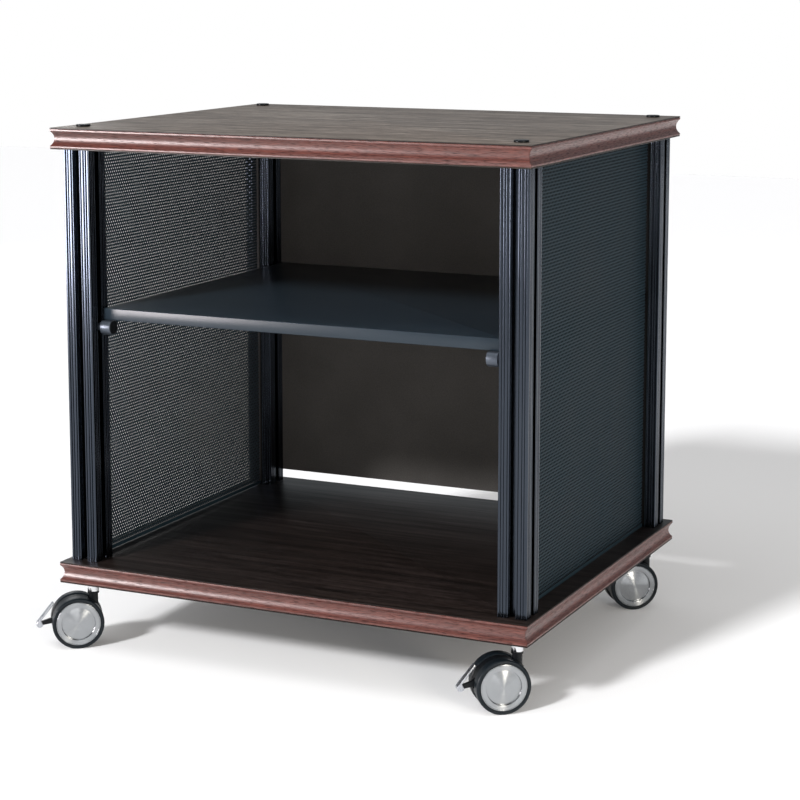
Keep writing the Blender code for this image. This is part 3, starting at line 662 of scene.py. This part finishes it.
def side_panel(side, look):
    """A sheet in two halves, from whole rows and columns of holes, with a hem at each end and two borders."""
    panel = f"{side}_mesh_panel"
    low, high = extent(panel)
    x = (low[0] + high[0]) / 2
    rows = int((high[2] - low[2] - 2 * (BORDER_HEIGHT - BORDER_LAP)) // ROW)
    columns = int((high[1] - low[1] - 2 * HEM_DEPTH + 2 * HEM_LAP) / HOLE_PITCH - 0.5)
    foot = (low[2] + high[2] - rows * ROW) / 2
    parts = [punched(f"{side}_punched_sheet_lower", x, foot, columns, 0, rows // 2, look),
             punched(f"{side}_punched_sheet_upper", x, foot, columns, rows // 2, rows - 1, look)]
    for end, at in (("front", low[1]), ("rear", high[1] - HEM_DEPTH)):
        parts.append(slab(f"{side}_sheet_hem_{end}", (low[0], at, low[2]), (high[0], at + HEM_DEPTH, high[2]),
                          HEM_CORNER, HEM_EASE, look, "root"))
    for end, at in (("lower", low[2]), ("upper", high[2] - BORDER_HEIGHT)):
        parts.append(slab(f"{side}_sheet_border_{end}", (x - BORDER_METAL / 2, low[1] + HEM_DEPTH / 2, at),
                          (x + BORDER_METAL / 2, high[1] - HEM_DEPTH / 2, at + BORDER_HEIGHT), BORDER_CORNER,
                          BORDER_EASE, look, "root"))
    for part in parts:
        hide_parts(panel)


coat = sheet_paint()
for side in ("left", "right"):
    side_panel(side, coat)


# Back panel
# A thin dark hardboard, screwed to the rear faces of the rear posts. It stops short of the lower board, and
# leaves a gap there for cables.
def hardboard():
    """Dark sealed fibreboard: short felted fibres lying every way, and a faint cloudiness."""
    made, tree, shader = material("dark_sealed_hardboard", (0.11, 0.10, 0.10), 0.5, Specular_IOR_Level=0.06)
    felt = marks(tree, "Object", (700.0, 200.0, 700.0), 5.0, 0.65)
    cloud = marks(tree, "Object", (9.0, 9.0, 9.0), 3.0, 0.5)
    base = tint(tree, felt, (0.3, (0.095, 0.088, 0.083)), (0.7, (0.135, 0.126, 0.119)))
    slow = tint(tree, cloud, (0.3, (0.8, 0.8, 0.8)), (0.7, NO_STAIN))
    finish(tree, shader, darkened(tree, base, slow), ranged(tree, felt, 0.46, 0.56), felt, 0.00004)
    return made


def finished_as_packed(name, look):
    """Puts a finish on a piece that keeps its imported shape."""
    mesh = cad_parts[name].data
    mesh.materials.clear()
    mesh.materials.append(look)


finished_as_packed("back_panel", hardboard())


# Shelf
# A board painted satin blue-black on all faces, its edges eased. It rests on four clamps in the posts' slots
# and slides up and down with them.
SHELF_CORNER = 0.0014
SHELF_EDGE = 0.0008


def shelf_paint():
    """Sprayed satin paint over board: a faint roller texture, and slow changes in gloss."""
    made, tree, shader = material("satin_blue_black_paint", (0.018, 0.023, 0.029), 0.3,
                                  Specular_IOR_Level=0.28)
    peel = marks(tree, "Object", (420.0, 420.0, 420.0), 3.0, 0.55)
    cloud = marks(tree, "Object", (5.0, 16.0, 16.0), 4.0, 0.5)
    colour = tint(tree, cloud, (0.3, (0.016, 0.024, 0.033)), (0.7, (0.021, 0.031, 0.042)))
    finish(tree, shader, colour, ranged(tree, cloud, 0.28, 0.31), peel, 0.000012)
    return made


slab("shelf_slab", *extent("shelf"), SHELF_CORNER, SHELF_EDGE, shelf_paint(), "shelf_unit", ("shelf",),
     "shelf_board")


# Shelf clamps
# Grey cast knobs with a neck and a lug into the post's slot. A black cover closes each inner end, and the
# shelf rests on a flat along the top.
INNER_X = 0.262
LUG_RADIUS = 0.0040
SUPPORT_RADIUS = 0.0092
SUPPORT_FLAT = 0.0076
SUPPORT_NECK_RADIUS = 0.0052
SUPPORT_NECK_LENGTH = 0.005
NECK_CHAMFER = 0.0003
KNOB_FILLET = 0.0006
KNOB_ROUND = 0.0008
KNOB_MOUTH = 0.0082
MOUTH_TAPER = 0.0001
COVER_THICKNESS = 0.0006
COVER_SEAT = 0.0008
COVER_RADIUS = 0.0080
COVER_ROUND = 0.0005
COVER_DIMPLE = 0.0030
DIMPLE_DEPTH = 0.0003
COVER_BELOW = 0.0002


def arc(centre, radius, start, end, steps=6):
    """Points on part of a circle, given in degrees, for a turned profile or a side view."""
    angle = np.radians(np.linspace(start, end, steps))
    return (np.array(centre) + radius * np.column_stack([np.cos(angle), np.sin(angle)])).tolist()


def turned(name, profile, centre, axis, look, body, replaced=(), segments=72, flat=None,
           closed=False, start=(0.0, 0.0, 1.0)):
    """A profile of (distance along the axis, radius) swept round the axis; flat cuts it off at a height."""
    profile = np.array(profile + profile[:1] if closed else profile, dtype=float)
    axis = np.array(axis, dtype=float)
    first = np.array(start, dtype=float)
    second = np.cross(axis, first)
    angle = np.linspace(0, 2 * math.pi, segments, endpoint=False)
    spoke = np.cos(angle)[:, None] * first + np.sin(angle)[:, None] * second
    rings = np.array(centre, dtype=float) + profile[:, None, :1] * axis + profile[:, None, 1:] * spoke
    if flat is not None:
        rings[..., 2] = np.minimum(rings[..., 2], flat)
    girth = np.concatenate([[0], np.cumsum(np.linalg.norm(np.diff(profile, axis=0), axis=1))])
    turns = np.linspace(0, 1, segments + 1)
    uv = np.stack(np.broadcast_arrays(turns[None, :], girth[:, None]), axis=2)
    return loft(name, rings, look, body, replaced, uv, capped=False)


def clamp_metal():
    """Grey satin paint over a casting: fine pits and a little unevenness."""
    made, tree, shader = material("grey_clamp_casting", (0.2, 0.21, 0.24), 0.34, 0.55)
    pits = marks(tree, "Object", (900.0, 900.0, 900.0), 4.0, 0.6)
    colour = tint(tree, pits, (0.3, (0.060, 0.072, 0.092)), (0.7, (0.090, 0.106, 0.132)))
    finish(tree, shader, colour, ranged(tree, pits, 0.30, 0.40), pits, 0.00003)
    return made


def black_plastic(name, gloss):
    """Moulded black plastic: a fine spark-eroded texture."""
    made, tree, shader = material(name, (0.007, 0.008, 0.009), gloss, Specular_IOR_Level=0.2)
    grain = marks(tree, "Object", (1400.0, 1400.0, 1400.0), 3.0, 0.6)
    colour = tint(tree, grain, (0.3, (0.003, 0.004, 0.005)), (0.7, (0.006, 0.007, 0.009)))
    finish(tree, shader, colour, ranged(tree, grain, gloss - 0.05, gloss + 0.06), grain, 0.00003)
    return made


def clamp(corner, side, metal, plastic):
    """Lug, neck and rounded drum turned as one, and a thin cover; distances run inwards from the post."""
    low, high = extent(f"{corner}_shelf_support")
    centre = (side * INNER_X, (low[1] + high[1]) / 2, high[2] - SUPPORT_FLAT)
    inner_end, outer_end = (low[0], high[0]) if side > 0 else (high[0], low[0])
    reach = abs(side * INNER_X - inner_end)
    lug = -abs(side * INNER_X - outer_end)
    neck = SUPPORT_NECK_LENGTH
    neck_radius = SUPPORT_NECK_RADIUS
    nose = reach - COVER_THICKNESS
    seat = nose - COVER_SEAT
    knob = [(lug, 0), (lug, LUG_RADIUS), (NECK_CHAMFER, LUG_RADIUS),
            (NECK_CHAMFER, neck_radius - NECK_CHAMFER), (2 * NECK_CHAMFER, neck_radius),
            (neck - KNOB_FILLET, neck_radius)]
    knob += arc((neck - KNOB_FILLET, neck_radius + KNOB_FILLET), KNOB_FILLET, -90, 0, 4)
    knob += arc((neck + KNOB_ROUND, SUPPORT_RADIUS - KNOB_ROUND), KNOB_ROUND, 180, 90)
    knob += arc((nose - KNOB_FILLET, SUPPORT_RADIUS - KNOB_FILLET), KNOB_FILLET, 90, 0)
    knob += [(nose, KNOB_MOUTH), (seat, KNOB_MOUTH - MOUTH_TAPER), (seat, 0)]
    turned(f"{corner}_clamp_knob", knob, centre, (-side, 0, 0), metal, "shelf_unit",
           (f"{corner}_shelf_support",), flat=high[2])
    cover = [(seat, 0), (seat, COVER_RADIUS)]
    cover += arc((reach - COVER_ROUND, COVER_RADIUS - COVER_ROUND), COVER_ROUND, 90, 0, 5)
    cover += [(reach, COVER_DIMPLE), (reach - DIMPLE_DEPTH, 0.8 * COVER_DIMPLE), (reach - DIMPLE_DEPTH, 0)]
    turned(f"{corner}_clamp_cover", cover, centre, (-side, 0, 0), plastic, "shelf_unit",
           (f"{corner}_shelf_support",), flat=high[2] - COVER_BELOW)


casting = clamp_metal()
cover_plastic = black_plastic("black_cover_plastic", 0.38)
for corner, (side, end) in CORNERS.items():
    clamp(corner, side, casting, cover_plastic)


# Caps and tie bolts
# Push-in black plastic caps over the bolts that pull the top board down on the posts. The bolts are bright
# zinc, out of sight below the caps.
CAP_ROUND = 0.0008
CAP_PLUG = 0.001
CAP_RIM = 0.002
CAP_ARRIS = 0.0002
CROWN_RISE = 0.0001
UPWARD = (0.0, 0.0, 1.0)
RIGHTWARD = (1.0, 0.0, 0.0)


def zinc_plate():
    """Bright zinc: fine turning lines and a faint cloudy passivation."""
    made, tree, shader = material("bright_zinc", (0.55, 0.56, 0.58), 0.28, 1.0)
    cloud = marks(tree, "Object", (260.0, 260.0, 260.0), 4.0, 0.6)
    colour = tint(tree, cloud, (0.3, (0.46, 0.47, 0.50)), (0.7, (0.62, 0.63, 0.64)))
    finish(tree, shader, colour, ranged(tree, cloud, 0.28, 0.31), cloud, 0.00001)
    return made


def push_cap(corner, look):
    """A plug under a rounded disc, turned about the bolt's axis; the disc rises a little to its middle."""
    low, high = extent(f"{corner}_cap")
    middle = (low + high) / 2
    rim = (high[0] - low[0]) / 2
    plug = rim - CAP_RIM
    rest = low[2] + CAP_PLUG
    crown = high[2]
    profile = [(low[2], 0), (low[2], plug), (rest, plug), (rest, rim - CAP_ARRIS), (rest + CAP_ARRIS, rim)]
    profile += arc((crown - CAP_ROUND - CROWN_RISE, rim - CAP_ROUND), CAP_ROUND, 90, 12, 8)
    profile += [(crown - CROWN_RISE / 2, rim * 0.7), (crown, rim * 0.35), (crown, 0)]
    turned(f"{corner}_push_cap", profile, (middle[0], middle[1], 0), UPWARD, look, "root", (f"{corner}_cap",),
           start=RIGHTWARD)


zinc = zinc_plate()
cap_plastic = black_plastic("black_cap_plastic", 0.34)
for corner in CORNERS:
    push_cap(corner, cap_plastic)
    finished_as_packed(f"{corner}_tie_bolt", zinc)


# Caster stems and housings
# A chromed stem is screwed into each post, with a black sleeve pushed over it below the bright collar. Its
# lower end turns in a moulded black housing between the two wheels.
COLLAR_LENGTH = 0.0185
COLLAR_RADIUS = 0.0070
COLLAR_CHAMFER = 0.0004
COLLAR_ROUND = 0.0006
BRIGHT_LOW = -0.0160
SPIGOT_RADIUS = 0.0040
SPIGOT_LEAD = 0.0006
STEM_NECK = 0.013
STEM_BAR = 0.0050
STEM_PIVOT = 0.0030
TIP_CHAMFER = 0.0004
SLEEVE_ROUND = 0.0009
SLEEVE_NECK = 0.0057


def chrome():
    """Bright chromium: nearly a mirror, with the finest polishing lines round it."""
    made, tree, shader = material("bright_chromium", (0.80, 0.81, 0.83), 0.09, 1.0)
    lines = marks(tree, "UV", (3.0, 9000.0, 1.0), 2.0, 0.5)
    colour = tint(tree, lines, (0.3, (0.74, 0.75, 0.78)), (0.7, (0.84, 0.85, 0.86)))
    finish(tree, shader, colour, ranged(tree, lines, 0.07, 0.13), lines, 0.000002)
    return made


def stem(corner, metal, plastic):
    """Two profiles turned about the post's axis: the stem from spigot to tip, and the sleeve on its neck."""
    low, high = extent(f"{corner}_caster_stem")
    middle = (low + high) / 2
    axis = (middle[0], middle[1], 0)
    collar_low = -SEAM - COLLAR_LENGTH
    neck_low = collar_low - STEM_NECK
    profile = [(high[2], 0), (high[2], SPIGOT_RADIUS - TIP_CHAMFER), (high[2] - SPIGOT_LEAD, SPIGOT_RADIUS),
               (-SEAM, SPIGOT_RADIUS), (-SEAM, COLLAR_RADIUS - COLLAR_CHAMFER),
               (-SEAM - COLLAR_CHAMFER, COLLAR_RADIUS)]
    profile += arc((BRIGHT_LOW + COLLAR_ROUND, COLLAR_RADIUS - COLLAR_ROUND), COLLAR_ROUND, 90, 180)
    profile += [(BRIGHT_LOW, STEM_BAR), (neck_low, STEM_BAR), (neck_low, STEM_PIVOT),
                (low[2] + TIP_CHAMFER, STEM_PIVOT), (low[2], STEM_PIVOT - TIP_CHAMFER), (low[2], 0)]
    turned(f"{corner}_chromed_stem", profile, axis, UPWARD, metal, f"{corner}_swivel",
           (f"{corner}_caster_stem",), start=RIGHTWARD)
    head = BRIGHT_LOW - SEAM
    bore = STEM_BAR + SEAM
    sleeve = [(head, bore), (head, COLLAR_RADIUS - COLLAR_CHAMFER), (head - COLLAR_CHAMFER, COLLAR_RADIUS)]
    sleeve += arc((collar_low + SLEEVE_ROUND, COLLAR_RADIUS - SLEEVE_ROUND), SLEEVE_ROUND, 90, 180)
    sleeve += [(collar_low, SLEEVE_NECK), (neck_low + TIP_CHAMFER, SLEEVE_NECK),
               (neck_low, SLEEVE_NECK - TIP_CHAMFER / 2), (neck_low, bore)]
    turned(f"{corner}_stem_sleeve", sleeve, axis, UPWARD, plastic, f"{corner}_swivel",
           (f"{corner}_caster_stem",), start=RIGHTWARD, closed=True)


bright_metal = chrome()
housing_plastic = black_plastic("black_housing_plastic", 0.42)
for corner in CORNERS:
    stem(corner, bright_metal, housing_plastic)
    finished_as_packed(f"{corner}_axle", bright_metal)
    finished_as_packed(f"{corner}_caster_housing", housing_plastic)


# Wheels
# Each caster has two wheels on one axle. A hard black tyre is moulded round a hub with a satin plated cover:
# a shallow dome inside a flat ring, turned in fine circles.
CASTER_TURN = math.radians(-142.6)
TRAIL = np.array([math.cos(CASTER_TURN), math.sin(CASTER_TURN), 0.0])
ACROSS = np.array([-math.sin(CASTER_TURN), math.cos(CASTER_TURN), 0.0])
UP = np.array([0.0, 0.0, 1.0])
WHEEL_RADIUS = 0.0315
WHEEL_HALF = 0.00675
WHEEL_SEGMENTS = 96
RIM = 0.0268
RIM_ROUND = 0.0005
RIM_LINE = 0.0011
LINE_DEPTH = 0.0002
RING_INNER = 0.0204
RING_FACE = 0.00645
RING_ROUND = 0.0003
DISH = 0.00425
DISH_FILLET = 0.0004
DISH_EDGE = 0.0197
DOME = 0.0016
DOME_FOOT = 0.0199
HUB_BORE = 0.0033
BORE_DEPTH = 0.00225
BEAD_SUNK = 0.0007
BEAD_ROUND = 0.0003
SUNK_LINE = ((0.0003, 0.0011), (0.0001, 0.0014), (0.0, 0.0018))
TYRE_SHOULDER = 0.0022
TREAD_CROWN = ((0.0022, 0.00003), (0.0008, 0.0))


def hub_plate():
    """Satin plated hub: concentric turning lines that stretch the highlight across them."""
    made, tree, shader = material("satin_plated_hub", (0.38, 0.39, 0.41), 0.24, 1.0, Anisotropic=0.9,
                                  Anisotropic_Rotation=0.25)
    lines = marks(tree, "UV", (1.5, 6000.0, 1.0), 3.0, 0.6)
    colour = tint(tree, lines, (0.3, (0.32, 0.335, 0.35)), (0.7, (0.43, 0.445, 0.46)))
    tree.links.new(colour, shader.inputs["Base Color"])
    tree.links.new(ranged(tree, lines, 0.20, 0.28), shader.inputs["Roughness"])
    along = node(tree, "ShaderNodeTangent", direction_type="UV_MAP")
    tree.links.new(along.outputs["Tangent"], shader.inputs["Tangent"])
    return made


def tyre_rubber():
    """Hard black tyre: a moulded satin skin with faint lines round the tread."""
    made, tree, shader = material("black_tyre_skin", (0.006, 0.009, 0.012), 0.36, Specular_IOR_Level=0.22)
    lines = marks(tree, "UV", (6.0, 2500.0, 1.0), 3.0, 0.6)
    dust = marks(tree, "Object", (420.0, 420.0, 420.0), 4.0, 0.6)
    skin = tint(tree, dust, (0.35, (0.003, 0.006, 0.009)), (0.75, (0.009, 0.013, 0.017)))
    finish(tree, shader, skin, ranged(tree, lines, 0.32, 0.44), lines, 0.00002)
    return made


def hub_profile():
    """Shallow parabolic dome, step up to a flat ring, a groove, a rolled rim, and back to a plain bore."""
    radius = np.linspace(0, DISH_EDGE, 14)
    dome = np.column_stack([DISH + DOME * (1 - (radius / DOME_FOOT) ** 2), radius]).tolist()
    step = arc((DISH + DISH_FILLET, DISH_EDGE), DISH_FILLET, 180, 90, 5)[1:]
    lip = arc((RING_FACE - RING_ROUND, RING_INNER + RING_ROUND), RING_ROUND, -90, 0, 5)
    groove = RIM - RIM_LINE
    face = [(RING_FACE, groove - LINE_DEPTH), (RING_FACE - LINE_DEPTH, groove),
            (RING_FACE, groove + LINE_DEPTH)]
    rolled = arc((RING_FACE - RIM_ROUND, RIM - RIM_ROUND), RIM_ROUND, 0, 90)
    back = [(-WHEEL_HALF, RIM), (-WHEEL_HALF, HUB_BORE), (BORE_DEPTH, HUB_BORE), (BORE_DEPTH, 0)]
    return dome + step + lip + face + rolled + back


def tyre_profile():
    """Bead and sunk line beside the hub, a flat wall, round shoulders and a slightly crowned tread."""
    inner = RIM + SEAM
    wall = [(WHEEL_HALF - BEAD_SUNK, inner), (WHEEL_HALF - BEAD_SUNK, inner + BEAD_ROUND)]
    bead = arc((WHEEL_HALF - BEAD_SUNK + BEAD_ROUND, inner + 2 * BEAD_ROUND), BEAD_ROUND, 200, 0, 7)[1:]
    sunk = [(WHEEL_HALF - depth, inner + outward) for depth, outward in SUNK_LINE]
    shoulder = arc((WHEEL_HALF - TYRE_SHOULDER, WHEEL_RADIUS - TYRE_SHOULDER), TYRE_SHOULDER, 0, 86, 10)
    tread = [(across, WHEEL_RADIUS - fall) for across, fall in TREAD_CROWN]
    half = wall + bead + sunk + shoulder + tread
    return half + [(-across, radius) for across, radius in half[::-1]]


def wheel(corner, which, outward, metal, rubber):
    """A hub and a tyre turned about the axle, facing away from the housing; gives the wheel's centre."""
    low, high = extent(f"{corner}_{which}_tyre")
    heart = (low + high) / 2
    body = f"{corner}_{which}_wheel"
    turned(f"{body}_hub_cover", hub_profile(), heart, outward * ACROSS, metal, body,
           (f"{corner}_{which}_hub",), WHEEL_SEGMENTS)
    turned(f"{body}_tyre_ring", tyre_profile(), heart, outward * ACROSS, rubber, body,
           (f"{corner}_{which}_tyre",), WHEEL_SEGMENTS, closed=True)
    return heart


hub_metal = hub_plate()
tyre_skin = tyre_rubber()
axle_centres = {}
for corner in CORNERS:
    outer = wheel(corner, "outer", 1, hub_metal, tyre_skin)
    inner = wheel(corner, "inner", -1, hub_metal, tyre_skin)
    axle_centres[corner] = (outer + inner) / 2


# Brake pedals
# On the front casters, a nickel-plated bar between the wheels, curled under at its foot. A black link joins
# it to a pin through the housing.
PEDAL_PIVOT = np.array([0.0232, 0.0030])
PEDAL_TOP = np.array([0.0268, 0.0212])
PEDAL_FOOT = np.array([0.0458, -0.0022])
PEDAL_CURL = 0.0042
PEDAL_CURL_TURN = 207
PEDAL_PLATE = 0.0026
PEDAL_HALF = 0.0043
PEDAL_EASE = 0.0005
LINK_ROUND = 0.0040
LINK_HALF = 0.0022
LINK_EASE = 0.0003
PIN_HALF = 0.0052
PIN_RADIUS = 0.0020


def pedal_plating():
    """Nickel-plated pressing: brushed along its length."""
    made, tree, shader = material("plated_pedal", (0.50, 0.52, 0.56), 0.25, 1.0)
    lines = marks(tree, "Object", (500.0, 500.0, 120.0), 4.0, 0.6)
    colour = tint(tree, lines, (0.3, (0.42, 0.44, 0.48)), (0.7, (0.56, 0.58, 0.62)))
    finish(tree, shader, colour, ranged(tree, lines, 0.22, 0.34), lines, 0.00001)
    return made


def inset(outline, distance):
    """An outline moved inwards by a distance, along the mean of the normals on both sides of a point."""
    edge = np.roll(outline, -1, axis=0) - outline
    normal = np.column_stack([edge[:, 1], -edge[:, 0]]) / np.linalg.norm(edge, axis=1, keepdims=True)
    mean = normal + np.roll(normal, 1, axis=0)
    mean /= np.linalg.norm(mean, axis=1, keepdims=True)
    return outline - distance * mean


def plate(name, outline, place, half_width, ease, look, body):
    """A side view, along the trail and up, given a width across it; its two faces have rounded edges."""
    outline = np.array(outline)
    area = np.sum(outline[:, 0] * np.roll(outline[:, 1], -1) - np.roll(outline[:, 0], -1) * outline[:, 1])
    outline = outline if area > 0 else outline[::-1]
    rings = []
    for drawn_in, width in zip(*eased_faces(-half_width, half_width, ease)):
        view = inset(outline, drawn_in)
        rings.append(place + view[:, :1] * TRAIL + view[:, 1:] * UP + width * ACROSS)
    return loft(name, np.array(rings), look, body, crease=40)


def pedal(corner, place, metal, plastic, bright):
    """A bar down a slope whose foot curls round a circle, a link from its foot to the pin, and the pin."""
    slope = (PEDAL_FOOT - PEDAL_TOP) / np.linalg.norm(PEDAL_FOOT - PEDAL_TOP)
    out = np.array([-slope[1], slope[0]])
    turn = math.degrees(math.atan2(out[1], out[0]))
    hollow = out * (PEDAL_CURL - PEDAL_PLATE)
    bar = [PEDAL_TOP + hollow, PEDAL_TOP + out * PEDAL_CURL]
    bar += arc(PEDAL_FOOT, PEDAL_CURL, turn, turn - PEDAL_CURL_TURN, 26)
    bar.append(PEDAL_FOOT - slope * PEDAL_CURL + hollow)
    link = arc(PEDAL_PIVOT, LINK_ROUND, 90, 270, 16)
    link += [PEDAL_FOOT - (0, PEDAL_CURL / 2), PEDAL_FOOT + (0, PEDAL_CURL / 2)]
    pin = [(-PIN_HALF, 0), (-PIN_HALF, PIN_RADIUS), (PIN_HALF, PIN_RADIUS), (PIN_HALF, 0)]
    hinge = place + PEDAL_PIVOT[0] * TRAIL + PEDAL_PIVOT[1] * UP
    body = f"{corner}_brake"
    parts = [plate(f"{corner}_pedal_bar", bar, place, PEDAL_HALF, PEDAL_EASE, metal, body),
             plate(f"{corner}_pedal_link", link, place, LINK_HALF, LINK_EASE, plastic, body),
             turned(f"{corner}_pedal_pin", pin, hinge, ACROSS, bright, body, segments=32)]
    for part in parts:
        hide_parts(f"{corner}_brake_pedal")


pedal_metal = pedal_plating()
link_plastic = black_plastic("black_link_plastic", 0.36)
for corner, (side, end) in CORNERS.items():
    if end < 0:
        pedal(corner, axle_centres[corner], pedal_metal, link_plastic, bright_metal)
